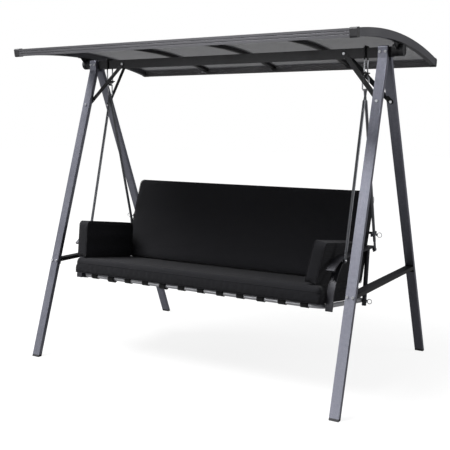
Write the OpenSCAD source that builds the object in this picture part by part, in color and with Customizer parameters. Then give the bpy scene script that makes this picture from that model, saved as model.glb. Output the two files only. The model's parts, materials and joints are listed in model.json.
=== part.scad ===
// Three-seat canopy swing bench with a reclining back and a roof that tilts on the beam ends.
// Millimetres. +X to the right of someone facing the bench, +Y to the rear, +Z up.
// The floor is z = 0 and the origin is the middle of the whole outline at floor level.

/* [Stand] */
// Height of the middle of the top beam above the floor
beam_z = 1750; // [1650:5:1850]
// Height of the beam's section
beam_h = 50; // [40:1:60]
// Depth of the beam's section
beam_d = 36; // [30:1:40]
// Half the length of the beam's tube
beam_half = 990; // [985:1:992]
// Width of a leg's tube, across the bench
leg_w = 50; // [40:1:60]
// Depth of a leg's tube
leg_d = 25; // [20:1:30]
// Wall of the leg, beam and brace tubes
tube_wall = 1.5; // [1:0.1:2.5]
// Half the distance between the feet of one side and the other
foot_x = 960; // [950:1:1000]
// Half the distance between the leg tops
leg_top_x = 948; // [944:1:952]
// How far the front feet stand in front of the beam
front_foot_y = 582; // [520:1:640]
// How far the rear feet stand behind the beam
rear_foot_y = 757; // [640:1:800]
// Height of the middle of the level side braces
side_brace_z = 560; // [500:1:620]

/* [Suspension] */
// Half the distance between the two hanging points
hang_x = 846; // [845:1:850]
// Height of the upper pivot, where the link hangs in its stirrup
upper_pivot_z = 1632; // [1625:1:1640]
// Height of the lower pivot, where the rods hang on the link
lower_pivot_z = 1558; // [1550:1:1562]
// Diameter of the hanger rods
rod_dia = 16; // [14:1:18]
// How far the front hanger bolt is in front of the beam
front_bolt_y = 218; // [200:1:230]
// How far the rear hanger bolt is behind the beam
rear_bolt_y = 217; // [205:1:225]

/* [Seat] */
// Angle at which the seat falls towards the back
seat_tilt = 7.5; // [4:0.5:10]
// How far the front rail is in front of the beam
seat_front_y = 350; // [340:1:360]
// Height of the middle of the front rail
seat_front_z = 478; // [470:1:490]
// Distance between the front and rear rails
seat_depth = 585; // [570:1:600]
// Half the distance between the seat's side tubes
seat_half = 786; // [784:1:787]
// Diameter of the seat frame's tube
seat_tube = 25; // [22:1:28]
// Top of the armrests
armrest_top = 717; // [700:1:730]
// Thickness of the seat cushion
seat_pad_t = 92; // [70:1:96]

/* [Back] */
// Angle at which the back leans from upright
back_lean = 20; // [15:1:25]
// Height of the back frame, from its hinge to the middle of its top rail
back_h = 575; // [520:1:600]
// Half the distance between the back's side tubes
back_half = 756; // [752:1:758]
// Thickness of the back cushion
back_pad_t = 100; // [70:1:105]

/* [Canopy] */
// Half the width of the roof
roof_half = 1035; // [1033:1:1040]
// Depth of the roof's side arches, top to bottom
roof_t = 40; // [36:1:42]
// Radius of the roof's curve
roof_r = 3460; // [3200:10:4000]
// Height of the roof's highest line above the pivots that it tilts on
roof_rise = 78; // [75:1:90]
// How far the roof's highest line is in front of the beam
roof_crown_y = 125; // [110:1:140]
// Angle that the roof sweeps in front of its highest line
roof_front_sweep = 7.7; // [7:0.1:8.5]
// Angle that the roof sweeps behind its highest line
roof_rear_sweep = 12; // [11:0.1:12.5]
// Number of roof panels
panel_count = 4; // [2:1:6]

/* [Hidden] */
$fn = 48;

LEFT = -1;
RIGHT = 1;
FRONT = -1;
REAR = 1;
FAR = 3000;

// Fits and fasteners
slack = 0.2;
fine_gap = 0.05;
bolt_r = 4;
hole_r = 4.2;
head_r = 7;
head_t = 5;

// Stand
foot_cap_h = 12;
leg_top_z = beam_z + 31;
knee_z = beam_z - 35;
knee_y = beam_d / 2 + leg_d / 2;
leg_bolt_dx = 15;
side_brace_h = 20;
side_plate_t = 4;
diagonal_beam_x = 731;
diagonal_leg_z = beam_z - 247;
diagonal_w = 25;
diagonal_t = 3.5;
diagonal_lugs = [24, 34];

// Suspension
wire_r = 4;
sleeve_r = 6;
sleeve_bend = 7;
stirrup_y = beam_d / 2 + 0.3 + sleeve_r;
stirrup_low_z = 1652;
tab_t = 6;
link_r = 16;
rod_end_t = 4.5;
rod_end_w = 24;
eye_r = 6;
eye_drop = 0.8;
hanger_bolt_z = armrest_top - 19;

// Armrests
bar_t = 10;
bar_w = 44;
bar_mid_x = 822;
bar_out_x = bar_mid_x + bar_w / 2;
curl_y = -215;
curl_r = 208;
curl_angle = 40;
post_r = 295;
post_centre = [-53, 445];
post_start = 115;
post_end = 177.5;
post_t = 8;
strut_x = 812;
strut_r = 12.5;
lug_t = 5;

// Seat and back
bend_r = 60;
strap_w = 44;
strap_t = 2;
strap_pitch = 125;
seat_strap_count = 12;
pivot_y = 165;
pivot_z = seat_front_z - (pivot_y + seat_front_y) * tan(seat_tilt);
pin_r = 5;
back_offset = -24;
back_tube = 22;
back_low_z = 110;
back_strap_count = 10;
lock_y = 212;
lock_z = 780;
lock_plate_x = 824;
lock_arm_reach = 62;

// Cushions
seat_pad_half = 798;
seat_pad_front = -70;
seat_pad_rear = 478;
seat_pad_low = seat_tube / 2 + strap_t + 0.7;
seat_pad_top = seat_pad_low + seat_pad_t;
back_pad_rear = back_offset - back_tube / 2 - strap_t - 1;
back_pad_front = back_pad_rear - back_pad_t;
back_pad_top = 601;
back_pad_low = 90;
back_pad_low_rear = 104;
arm_pad_t = 66;
left_pad_x = 762;
left_pad_lean = 1;
right_pad_x = 728;
right_pad_lean = 10;
left_pad_front = -55;
right_pad_front = -45;
arm_pad_l = 443;
arm_pad_h = 218;
pad_round = 22;

// Canopy
tilt_z = beam_z + 8;
arch_w = 25;
rail_d = 32;
panel_top = 5;
panel_t = 4;
groove = 8;
groove_angle = groove / roof_r * 180 / PI;
edge_gap = 0.01;
rib_w = 26;
rib_t = 26;
cap_len = 35;
cap_lip = 3;
cap_round = 9;
hub_r = 31;
hub_t = 24;
stud_r = 6;
bracket_x = 1015;
bracket_t = 6;
knob_t = 25;

// The rear feet reach further than the roof's front edge, so the beam stands in front of the middle.
roof_front_y = roof_crown_y + roof_r * sin(roof_front_sweep) + cap_round
    + (rail_d + 0.5 - cap_round) * cos(roof_front_sweep) - (cap_round - cap_lip) * sin(roof_front_sweep);
rear_reach_y = rear_foot_y + leg_level_half(REAR);
beam_y = (roof_front_y - rear_reach_y) / 2;

// ---- helpers ----

module from_beam() translate([0, beam_y, 0]) children();

module on_side(side) {
    if (side < 0)
        mirror([1, 0, 0]) children();
    else
        children();
}

module each_side() {
    for (side = [LEFT, RIGHT])
        on_side(side) children();
}

// Stands children on the line from p towards q, with their x axis kept across the bench
module along(p, q) {
    v = q - p;
    translate(p)
        rotate([-asin(v[1] / norm(v)), atan2(v[0], v[2]), 0])
            children();
}

// Extrudes a y-z outline across the bench from x0 to x1
module across(x0, x1)
    translate([x0, 0, 0])
        rotate([90, 0, 90])
            linear_extrude(x1 - x0) children();

module rod_x(x0, x1, r)
    translate([x0, 0, 0])
        rotate([0, 90, 0])
            cylinder(h = x1 - x0, r = r);

module rod_y(y0, y1, r)
    translate([0, y0, 0])
        rotate([-90, 0, 0])
            cylinder(h = y1 - y0, r = r);

module box_ring(w, d, wall)
    difference() {
        square([w, d], center = true);
        square([w - 2 * wall, d - 2 * wall], center = true);
    }

module bolt_y(y0, y1, nut = true) {
    rod_y(y0, y1, bolt_r);
    rod_y(y0 - head_t, y0, head_r);
    if (nut)
        translate([0, y1, 0])
            rotate([-90, 0, 0])
                cylinder(h = 6, r = 7.5, $fn = 6);
}

module bolt_x(x0, x1) {
    rod_x(x0, x1, bolt_r);
    rod_x(x1, x1 + head_t, head_r);
    translate([x0 - 6, 0, 0])
        rotate([0, 90, 0])
            cylinder(h = 6, r = 7.5, $fn = 6);
}

// Middle of a leg at height z; end is FRONT or REAR
function leg_foot(end) = [foot_x, end < 0 ? -front_foot_y : rear_foot_y, 0];
function leg_knee(end) = [leg_top_x, end * knee_y, knee_z];
function leg_at(end, z) = leg_foot(end) + (leg_knee(end) - leg_foot(end)) * z / knee_z;
// Half a leg's depth measured level, because it leans
function leg_level_half(end) =
    leg_d / 2 * norm(leg_knee(end) - leg_foot(end)) / knee_z;

// ---- stand ----

module leg_solid(end, w, d) {
    foot = leg_foot(end);
    knee = leg_knee(end);
    low = foot - (knee - foot) * 0.02;
    along(low, knee)
        linear_extrude(norm(knee - low)) square([w, d], center = true);
    translate(knee)
        rod_x(-w / 2, w / 2, d / 2);
    translate(knee)
        linear_extrude(leg_top_z - knee_z - d / 2) square([w, d], center = true);
    translate([knee[0], knee[1], leg_top_z - d / 2])
        rod_x(-w / 2, w / 2, d / 2);
}

module leg(side, end)
    color([0.55, 0.56, 0.61])
        from_beam() on_side(side)
            difference() {
                intersection() {
                    leg_solid(end, leg_w, leg_d);
                    translate([0, -FAR / 2, foot_cap_h]) cube([FAR, FAR, FAR]);
                }
                leg_solid(end, leg_w - 2 * tube_wall, leg_d - 2 * tube_wall);
                for (dx = [-leg_bolt_dx, leg_bolt_dx]) {
                    translate([leg_top_x + dx, 0, beam_z])
                        rod_y(-70, 70, hole_r);
                    translate(leg_at(end, side_brace_z) + [dx, 0, 0])
                        rod_y(-40, 40, hole_r);
                }
                translate([leg_at(end, diagonal_leg_z)[0], leg_at(end, diagonal_leg_z)[1], diagonal_leg_z])
                    rod_y(-40, 40, hole_r);
            }

module front_leg_left() leg(LEFT, FRONT);
module front_leg_right() leg(RIGHT, FRONT);
module rear_leg_left() leg(LEFT, REAR);
module rear_leg_right() leg(RIGHT, REAR);

module foot_caps()
    color([0.08, 0.08, 0.09])
        from_beam() each_side()
            for (end = [FRONT, REAR]) {
                intersection() {
                    leg_solid(end, leg_w, leg_d);
                    translate([0, -FAR / 2, 0]) cube([FAR, FAR, foot_cap_h]);
                }
                intersection() {
                    leg_solid(end, leg_w - 2 * tube_wall - 2 * slack, leg_d - 2 * tube_wall - 2 * slack);
                    translate([0, -FAR / 2, foot_cap_h / 2]) cube([FAR, FAR, 30]);
                }
            }

// Level tube between the two legs of one side, with a plate on each end
module side_brace(side) {
    x = leg_at(FRONT, side_brace_z)[0];
    y0 = leg_at(FRONT, side_brace_z)[1];
    y1 = leg_at(REAR, side_brace_z)[1];
    lean0 = atan((front_foot_y - knee_y) / knee_z);
    lean1 = atan((rear_foot_y - knee_y) / knee_z);
    plate_reach = leg_d / 2 + side_plate_t;
    color([0.16, 0.16, 0.18])
        from_beam() on_side(side)
            difference() {
                union() {
                    translate([x, y0, side_brace_z])
                        rotate([-90, 0, 0])
                            linear_extrude(y1 - y0) box_ring(leg_w - 2, side_brace_h, tube_wall);
                    translate([x, y0, side_brace_z])
                        rotate([-lean0, 0, 0])
                            translate([-leg_w / 2, 0, -22]) cube([leg_w, plate_reach, 44]);
                    translate([x, y1, side_brace_z])
                        rotate([lean1, 0, 0])
                            translate([-leg_w / 2, -plate_reach, -22]) cube([leg_w, plate_reach, 44]);
                }
                for (end = [FRONT, REAR])
                    leg_solid(end, leg_w + 4, leg_d + 2 * slack);
                for (dx = [-leg_bolt_dx, leg_bolt_dx])
                    for (y = [y0, y1])
                        translate([x + dx, y, side_brace_z])
                            rod_y(-36, 36, hole_r);
            }
}

module side_brace_left() side_brace(LEFT);
module side_brace_right() side_brace(RIGHT);

module side_brace_bolts()
    color([0.75, 0.77, 0.8])
        from_beam() each_side()
            for (dx = [-leg_bolt_dx, leg_bolt_dx])
                for (end = [FRONT, REAR]) {
                    reach = leg_level_half(end);
                    p = leg_at(end, side_brace_z);
                    translate([p[0] + dx, p[1], side_brace_z]) {
                        if (end == FRONT)
                            bolt_y(-reach - 2.3, reach + side_plate_t + 6.5);
                        else
                            rotate([0, 0, 180]) bolt_y(-reach - 3, reach + side_plate_t + 8);
                    }
                }

module top_beam()
    color([0.07, 0.07, 0.08])
        from_beam()
            difference() {
                translate([-beam_half, 0, beam_z])
                    rotate([90, 0, 90])
                        linear_extrude(2 * beam_half) box_ring(beam_d, beam_h, tube_wall);
                each_side() {
                    for (dx = [-leg_bolt_dx, leg_bolt_dx])
                        translate([leg_top_x + dx, 0, beam_z])
                            rod_y(-30, 30, hole_r);
                    translate([diagonal_beam_x, 0, beam_z])
                        rod_y(-30, 30, hole_r);
                }
            }

// Plug and round hub on each end of the beam, with the stud that the roof turns on
module beam_hubs() {
    plug_d = beam_d - 2 * tube_wall - 2 * slack;
    plug_h = beam_h - 2 * tube_wall - 2 * slack;
    color([0.1, 0.1, 0.11])
        from_beam() each_side() {
            translate([beam_half - 22, -plug_d / 2, beam_z - plug_h / 2])
                cube([22, plug_d, plug_h]);
            translate([0, 0, tilt_z]) {
                rod_x(beam_half, beam_half + hub_t, hub_r);
                rod_x(beam_half + hub_t, bracket_x + bracket_t + 16, stud_r);
            }
        }
}

// Drilled end of a brace: it starts at its bolt and lies along x
module brace_lug(length) {
    rod_y(-diagonal_t / 2, diagonal_t / 2, diagonal_w / 2);
    translate([0, -diagonal_t / 2, -diagonal_w / 2])
        cube([length, diagonal_t, diagonal_w]);
}

// Flat bar from the beam down to one leg, bent at both ends to lie on their faces
module diagonal_brace(side, end) {
    leg_mid = leg_at(end, diagonal_leg_z);
    lean = end * atan((abs(leg_foot(end)[1]) - knee_y) / knee_z);
    beam_p = [diagonal_beam_x, end * (beam_d / 2 + 0.2 + diagonal_t / 2), beam_z];
    leg_p = leg_mid - [0, end * (leg_level_half(end) + 0.3 + diagonal_t / 2), 0];
    span = leg_p - beam_p;
    fall = atan2(-span[2], span[0]);
    bend_a = beam_p + diagonal_lugs[0] * [cos(fall), 0, -sin(fall)];
    bend_b = leg_p - diagonal_lugs[1] * [cos(fall), sin(fall) * sin(lean), -sin(fall) * cos(lean)];
    run = bend_b - bend_a;
    color([0.09, 0.09, 0.1])
        from_beam() on_side(side)
            difference() {
                union() {
                    translate(beam_p)
                        rotate([0, fall, 0]) brace_lug(diagonal_lugs[0] + 1);
                    translate(leg_p)
                        rotate([lean, 0, 0])
                            rotate([0, fall + 180, 0]) brace_lug(diagonal_lugs[1] + 1);
                    translate(bend_a)
                        rotate([0, atan2(-run[2], norm([run[0], run[1]])), atan2(run[1], run[0])])
                            rotate([end < 0 ? -24 : 0, 0, 0])
                                translate([-1, -diagonal_t / 2, -diagonal_w / 2])
                                    cube([norm(run) + 2, diagonal_t, diagonal_w]);
                }
                translate([diagonal_beam_x, 0, beam_z])
                    rod_y(-60, 60, hole_r);
                translate([leg_mid[0], leg_mid[1], diagonal_leg_z])
                    rod_y(-60, 60, hole_r);
                // clear of the beam and the leg
                translate([0, -beam_d / 2 - 0.1, beam_z - beam_h / 2 - 0.1])
                    cube([beam_half, beam_d + 0.2, beam_h + 0.2]);
                leg_solid(end, leg_w + 0.2, leg_d + 0.2);
            }
}

module diagonal_brace_front_left() diagonal_brace(LEFT, FRONT);
module diagonal_brace_front_right() diagonal_brace(RIGHT, FRONT);
module diagonal_brace_rear_left() diagonal_brace(LEFT, REAR);
module diagonal_brace_rear_right() diagonal_brace(RIGHT, REAR);

module diagonal_brace_bolts()
    color([0.75, 0.77, 0.8])
        from_beam() each_side() {
            translate([diagonal_beam_x, 0, beam_z])
                bolt_y(-beam_d / 2 - diagonal_t - 0.4, beam_d / 2 + diagonal_t + 0.4);
            for (end = [FRONT, REAR]) {
                p = leg_at(end, diagonal_leg_z);
                reach = leg_level_half(end);
                translate([p[0], p[1], diagonal_leg_z]) {
                    if (end == FRONT)
                        bolt_y(-reach - 2.3, reach + diagonal_t + 3);
                    else
                        rotate([0, 0, 180]) bolt_y(-reach - 3, reach + diagonal_t + 4);
                }
            }
        }

module leg_top_bolts()
    color([0.75, 0.77, 0.8])
        from_beam() each_side()
            for (dx = [-leg_bolt_dx, leg_bolt_dx])
                translate([leg_top_x + dx, 0, beam_z])
                    bolt_y(-beam_d / 2 - leg_d - 0.1, beam_d / 2 + leg_d + 0.1);

// ---- suspension ----

// Bent wire over the beam, in a thick sleeve where it bears; its two legs hold the tab
module stirrups()
    color([0.2, 0.2, 0.21])
        from_beam() each_side()
            translate([hang_x, 0, 0]) {
                top = beam_z + beam_h / 2 + 0.3 + sleeve_r;
                low = beam_z - beam_h / 2;
                for (turn = [0, 180])
                    rotate([0, 0, turn]) {
                        translate([0, stirrup_y, stirrup_low_z - 16])
                            cylinder(h = low - stirrup_low_z + 17, r = wire_r);
                        translate([0, stirrup_y, low])
                            cylinder(h = top - sleeve_bend - low, r = sleeve_r);
                        translate([0, stirrup_y - sleeve_bend, top - sleeve_bend])
                            rotate([90, 0, 90])
                                rotate_extrude(angle = 90) translate([sleeve_bend, 0]) circle(r = sleeve_r);
                    }
                translate([0, 0, top])
                    rod_y(sleeve_bend - stirrup_y, stirrup_y - sleeve_bend, sleeve_r);
            }

// Plate between the wire's legs, with the nuts under it and the eye for the link
module stirrup_tabs()
    color([0.3, 0.3, 0.32])
        from_beam() each_side()
            translate([hang_x, 0, 0])
                difference() {
                    union() {
                        translate([-11, -stirrup_y - 10, stirrup_low_z - 6])
                            cube([22, 2 * stirrup_y + 20, 6]);
                        translate([-tab_t / 2, -13, upper_pivot_z + 1.4])
                            cube([tab_t, 26, stirrup_low_z - 5 - upper_pivot_z - 1.4]);
                        translate([0, 0, upper_pivot_z + 1.4])
                            rod_x(-tab_t / 2, tab_t / 2, 13);
                        for (y = [-stirrup_y, stirrup_y])
                            translate([0, y, stirrup_low_z - 12])
                                cylinder(h = 6, r = 7.5, $fn = 6);
                    }
                    translate([0, 0, upper_pivot_z + 1.4])
                        rod_x(-20, 20, eye_r);
                    for (y = [-stirrup_y, stirrup_y])
                        translate([0, y, stirrup_low_z - 30])
                            cylinder(h = 60, r = wire_r + slack);
                }

// Closed oval link between the stirrup's tab and the hanger rods
module swing_links()
    color([0.7, 0.71, 0.73])
        from_beam() each_side()
            translate([hang_x, 0, 0]) {
                top = upper_pivot_z - link_r;
                low = lower_pivot_z + link_r;
                translate([0, 0, top])
                    rotate([90, 0, 0])
                        rotate_extrude(angle = 180) translate([link_r, 0]) circle(r = wire_r);
                translate([0, 0, low])
                    rotate([90, 180, 0])
                        rotate_extrude(angle = 180) translate([link_r, 0]) circle(r = wire_r);
                for (x = [-link_r, link_r])
                    translate([x, 0, low])
                        cylinder(h = top - low, r = wire_r);
            }

// Round rod with flattened, drilled ends; it runs from the link down to the armrest
module hanger_rod(side, end) {
    eye_z = lower_pivot_z - eye_drop;
    eye = [hang_x, 0, eye_z];
    low = [hang_x, end < 0 ? -front_bolt_y : rear_bolt_y, hanger_bolt_z];
    length = norm(eye - low);
    top_x = end < 0 ? 0.1 : -rod_end_t - 0.1;
    color([0.5, 0.51, 0.54])
        from_beam() on_side(side)
            difference() {
                along(low, eye) {
                    translate([0, 0, 48])
                        cylinder(h = length - 98, r = rod_dia / 2);
                    translate([top_x, -rod_end_w / 2, length - 60])
                        cube([rod_end_t, rod_end_w, 60]);
                    translate([0, 0, length])
                        rod_x(top_x, top_x + rod_end_t, rod_end_w / 2);
                    translate([-1.8, -rod_end_w / 2, 0])
                        cube([rod_end_t, rod_end_w, 60]);
                    rod_x(-1.8, -1.8 + rod_end_t, rod_end_w / 2);
                }
                translate(eye)
                    rod_x(-10, 10, eye_r);
                translate(low)
                    rod_x(-10, 10, hole_r);
                if (end == REAR)
                    translate([hang_x, lock_y, lock_z])
                        rod_x(-20, 20, bolt_r + fine_gap);
            }
}

module hanger_rod_front_left() hanger_rod(LEFT, FRONT);
module hanger_rod_front_right() hanger_rod(RIGHT, FRONT);
module hanger_rod_rear_left() hanger_rod(LEFT, REAR);
module hanger_rod_rear_right() hanger_rod(RIGHT, REAR);

// ---- armrests ----

// Part of a flat ring, in the y-z plane; angles run from the +Y axis
module ring_part(r, t, from, to)
    difference() {
        intersection() {
            circle(r = r + t / 2, $fn = 180);
            polygon([[0, 0],
                2 * r * [cos(from), sin(from)],
                2 * r * [cos((from + to) / 2), sin((from + to) / 2)],
                2 * r * [cos(to), sin(to)]]);
        }
        circle(r = r - t / 2, $fn = 180);
    }

// Flat bar with a curled front end and two ears for the hanger bolts
module armrest(side) {
    mid_z = armrest_top - bar_t / 2;
    color([0.13, 0.13, 0.15])
        from_beam() on_side(side)
            difference() {
                union() {
                    across(bar_mid_x - bar_w / 2, bar_out_x) {
                        translate([curl_y, armrest_top - bar_t])
                            square([rear_bolt_y + 10 - curl_y, bar_t]);
                        translate([curl_y, mid_z - curl_r])
                            ring_part(curl_r, bar_t, 90, 90 + curl_angle);
                    }
                    for (y = [-front_bolt_y, rear_bolt_y])
                        translate([bar_out_x - lug_t, y - 14, hanger_bolt_z - 13])
                            cube([lug_t, 28, armrest_top - hanger_bolt_z + 13 - 1]);
                }
                for (y = [-front_bolt_y, rear_bolt_y])
                    translate([bar_out_x, y, hanger_bolt_z])
                        rod_x(-10, 10, hole_r);
            }
}

module armrest_left() armrest(LEFT);
module armrest_right() armrest(RIGHT);

// Curved flat bar from under the armrest to the front corner of the seat
module front_posts()
    color([0.2, 0.2, 0.23])
        from_beam() each_side()
            difference() {
                union() {
                    across(bar_mid_x - bar_w / 2, bar_out_x - lug_t - 1)
                        translate(post_centre)
                            ring_part(post_r, post_t, post_start, post_end);
                    across(bar_mid_x - bar_w / 2, bar_mid_x - bar_w / 2 + lug_t)
                        polygon([
                            [-346, 458], [-346, 500], [-318, 496],
                            [-262, 486], [-262, 448], [-300, 448]]);
                }
                translate([0, 0, armrest_top - bar_t - 0.1])
                    translate([0, -FAR / 2, 0]) cube([FAR, FAR, 100]);
                seat_space()
                    translate([seat_half, 80, 0]) rod_x(-60, 60, hole_r);
                for (y = [-front_bolt_y, rear_bolt_y])
                    translate([bar_out_x, y, hanger_bolt_z])
                        rod_x(-20, 20, 9);
            }

// Round strut from the armrest's rear end to the seat's side tube
module rear_struts()
    color([0.13, 0.13, 0.15])
        from_beam() each_side()
            difference() {
                along([strut_x, pivot_y - 4, pivot_z - 25], [strut_x, 197, armrest_top])
                    difference() {
                        cylinder(h = 340, r = strut_r);
                        cylinder(h = 340, r = strut_r - tube_wall);
                    }
                translate([0, -FAR / 2, armrest_top - bar_t - 0.1]) cube([FAR, FAR, 100]);
                translate([0, pivot_y, pivot_z])
                    rod_x(700, 900, pin_r + slack);
            }

module armrest_bolts()
    color([0.75, 0.77, 0.8])
        from_beam() each_side() {
            for (y = [-front_bolt_y, rear_bolt_y])
                translate([0, y, hanger_bolt_z])
                    bolt_x(bar_out_x - lug_t - 0.1, hang_x + 2.8);
            seat_space()
                translate([0, 80, 0])
                    bolt_x(seat_half - seat_tube / 2 - 0.1, bar_mid_x - bar_w / 2 + lug_t + 0.1);
        }

// ---- seat ----

// The seat's own space: y runs rearwards along the seat, z stands square to it
module seat_space()
    translate([0, -seat_front_y, seat_front_z])
        rotate([-seat_tilt, 0, 0]) children();

module tube_x(x0, x1, r)
    difference() {
        rod_x(x0, x1, r);
        rod_x(x0 - 1, x1 + 1, r - tube_wall);
    }

module tube_y(y0, y1, r)
    difference() {
        rod_y(y0, y1, r);
        rod_y(y0 - 1, y1 + 1, r - tube_wall);
    }

// Quarter bend at the end of a rail, from the rail's +X end towards +Y
module bend(r)
    translate([0, bend_r, 0])
        rotate([0, 0, -90])
            rotate_extrude(angle = 90)
                translate([bend_r, 0])
                    difference() {
                        circle(r = r);
                        circle(r = r - tube_wall);
                    }

module bent_rail(half, r) {
    tube_x(-half + bend_r, half - bend_r, r);
    each_side()
        translate([half - bend_r, 0, 0]) bend(r);
}

module seat_front_rail()
    color([0.72, 0.73, 0.75])
        from_beam() seat_space() bent_rail(seat_half, seat_tube / 2);

module seat_rear_rail()
    color([0.72, 0.73, 0.75])
        from_beam() seat_space()
            translate([0, seat_depth, 0])
                mirror([0, 1, 0]) bent_rail(seat_half, seat_tube / 2);

module seat_side_tube(side)
    color([0.72, 0.73, 0.75])
        from_beam() on_side(side)
            difference() {
                seat_space()
                    translate([seat_half, 0, 0])
                        tube_y(bend_r, seat_depth - bend_r, seat_tube / 2);
                seat_space()
                    translate([seat_half, 80, 0]) rod_x(-60, 60, hole_r);
                translate([0, pivot_y, pivot_z])
                    rod_x(700, 900, pin_r + slack);
            }

module seat_side_tube_left() seat_side_tube(LEFT);
module seat_side_tube_right() seat_side_tube(RIGHT);

module seat_middle_bar()
    color([0.72, 0.73, 0.75])
        from_beam() seat_space()
            difference() {
                tube_y(0, seat_depth, 9.5);
                for (y = [0, seat_depth])
                    translate([0, y, 0]) rod_x(-20, 20, seat_tube / 2 + 0.05);
            }

// Outline of a webbing strap that loops round a tube at each end of its run
module strap_outline(run, r) {
    for (y = [0, run])
        translate([y, 0])
            difference() {
                circle(r = r + 0.3 + strap_t);
                circle(r = r + 0.3);
            }
    translate([0, r + 0.3]) square([run, strap_t]);
}

function strap_places(count) = [for (i = [0 : count - 1]) (i - (count - 1) / 2) * strap_pitch];

module seat_straps()
    color([0.05, 0.05, 0.06])
        from_beam() seat_space()
            for (x = strap_places(seat_strap_count))
                across(x - strap_w / 2, x + strap_w / 2)
                    strap_outline(seat_depth, seat_tube / 2);

// Ring-headed pins that the back hinges on
module back_pivot_pins()
    color([0.6, 0.61, 0.63])
        from_beam() each_side()
            translate([0, pivot_y, pivot_z])
                ring_pin(back_half + back_tube / 2 - 0.5, strut_x + strut_r + 0.5, pin_r);

// Pin along x with a head and a wire ring standing out of it
module ring_pin(x0, x1, r) {
    rod_x(x0, x1, r);
    rod_x(x1, x1 + 6, r + 3);
    translate([x1 + 17, 0, 0])
        rotate([90, 0, 0])
            rotate_extrude() translate([13, 0]) circle(r = 2);
}

// A pad with rounded long edges, from x0 to x1
module padded_outline(w, h)
    for (y = [pad_round, w - pad_round])
        for (z = [pad_round, h - pad_round])
            translate([y, z]) circle(r = pad_round);

module rounded_rect(w, h) {
    padded_outline(w, h);
    translate([pad_round, 0]) square([w - 2 * pad_round, h]);
    translate([0, pad_round]) square([w, h - 2 * pad_round]);
}

module seat_cushion()
    color([0.1, 0.1, 0.11])
        from_beam() seat_space()
            across(-seat_pad_half, seat_pad_half)
                translate([seat_pad_front, seat_pad_low])
                    rounded_rect(seat_pad_rear - seat_pad_front, seat_pad_t);

// Loose pad that stands on the seat cushion and leans out towards the armrest
module arm_pad(side, mid_x, front, lean)
    color([0.08, 0.08, 0.09])
        from_beam() on_side(side) seat_space()
            translate([mid_x, front, seat_pad_top + 1 + arm_pad_t / 2 * sin(lean)])
                rotate([0, lean, 0])
                    across(-arm_pad_t / 2, arm_pad_t / 2)
                        rounded_rect(arm_pad_l, arm_pad_h);

module arm_pad_left() arm_pad(LEFT, left_pad_x, left_pad_front, left_pad_lean);
module arm_pad_right() arm_pad(RIGHT, right_pad_x, right_pad_front, right_pad_lean);

// ---- back ----

// The back's own space: its hinge is the origin, z runs up along the frame
module back_space()
    translate([0, pivot_y, pivot_z])
        rotate([-back_lean, 0, 0]) children();

module back_top_rail()
    color([0.3, 0.3, 0.33])
        from_beam() back_space()
            translate([0, back_offset, back_h])
                rotate([-90, 0, 0])
                    bent_rail(back_half, back_tube / 2);

module back_bottom_rail()
    color([0.3, 0.3, 0.33])
        from_beam() back_space()
            translate([0, back_offset, back_low_z])
                difference() {
                    tube_x(-back_half, back_half, back_tube / 2);
                    each_side()
                        translate([back_half, 0, -20]) cylinder(h = 40, r = back_tube / 2 + 0.05);
                }

// Side tube with its hinge ear below and its arm for the lock pin
module back_side_tube(side) {
    ear_x = back_half + back_tube / 2 - 0.5;
    color([0.3, 0.3, 0.33])
        from_beam() on_side(side) {
            difference() {
                back_space() {
                    translate([back_half, back_offset, -6])
                        difference() {
                            cylinder(h = back_h - bend_r + 6, r = back_tube / 2);
                            translate([0, 0, -1]) cylinder(h = back_h, r = back_tube / 2 - tube_wall);
                        }
                    translate([ear_x, back_offset - 8, -10])
                        cube([lug_t + 0.5, -back_offset + 8, 20]);
                    rod_x(ear_x, ear_x + lug_t + 0.5, 12);
                }
                translate([0, pivot_y, pivot_z])
                    rod_x(back_half + 5, 900, pin_r + fine_gap);
            }
            difference() {
                union() {
                    translate([0, lock_y + lock_arm_reach, lock_z])
                        rod_x(back_half + back_tube / 2 - 2, lock_plate_x + 3, 7);
                    translate([lock_plate_x, lock_y - 12, lock_z - 12])
                        cube([lug_t + 1, lock_arm_reach + 20, 24]);
                }
                translate([0, lock_y, lock_z])
                    rod_x(lock_plate_x - 10, lock_plate_x + 20, hole_r);
                back_space()
                    translate([back_half, back_offset, 0])
                        cylinder(h = back_h, r = back_tube / 2 - 0.5);
            }
        }
}

module back_side_tube_left() back_side_tube(LEFT);
module back_side_tube_right() back_side_tube(RIGHT);

module back_straps()
    color([0.05, 0.05, 0.06])
        from_beam() back_space()
            for (x = strap_places(back_strap_count))
                translate([0, back_offset, back_low_z])
                    rotate([90, 0, 0])
                        across(x - strap_w / 2, x + strap_w / 2)
                            strap_outline(back_h - back_low_z, back_tube / 2);

module back_cushion() {
    r = pad_round;
    color([0.09, 0.09, 0.1])
        from_beam() back_space()
            across(-seat_pad_half, seat_pad_half) {
                polygon([
                    [back_pad_front, back_pad_low],
                    [back_pad_rear, back_pad_low_rear],
                    [back_pad_rear, back_pad_top - r],
                    [back_pad_front, back_pad_top - r]]);
                translate([back_pad_front + r, back_pad_top - r - 1])
                    square([back_pad_t - 2 * r, r + 1]);
                for (y = [back_pad_front + r, back_pad_rear - r])
                    translate([y, back_pad_top - r]) circle(r = r);
            }
}

// Spring-loaded pin that holds the back upright to the rear hanger rod
module lock_pin(side)
    color([0.6, 0.61, 0.63])
        from_beam() on_side(side)
            translate([0, lock_y, lock_z])
                ring_pin(lock_plate_x + lug_t + 1.5, hang_x + rod_dia / 2 + 0.5, bolt_r);

module lock_pin_left() lock_pin(LEFT);
module lock_pin_right() lock_pin(RIGHT);

// ---- canopy ----

// The roof's own space: the line that it tilts on is the x axis
module roof_space()
    translate([0, 0, tilt_z]) children();

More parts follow.
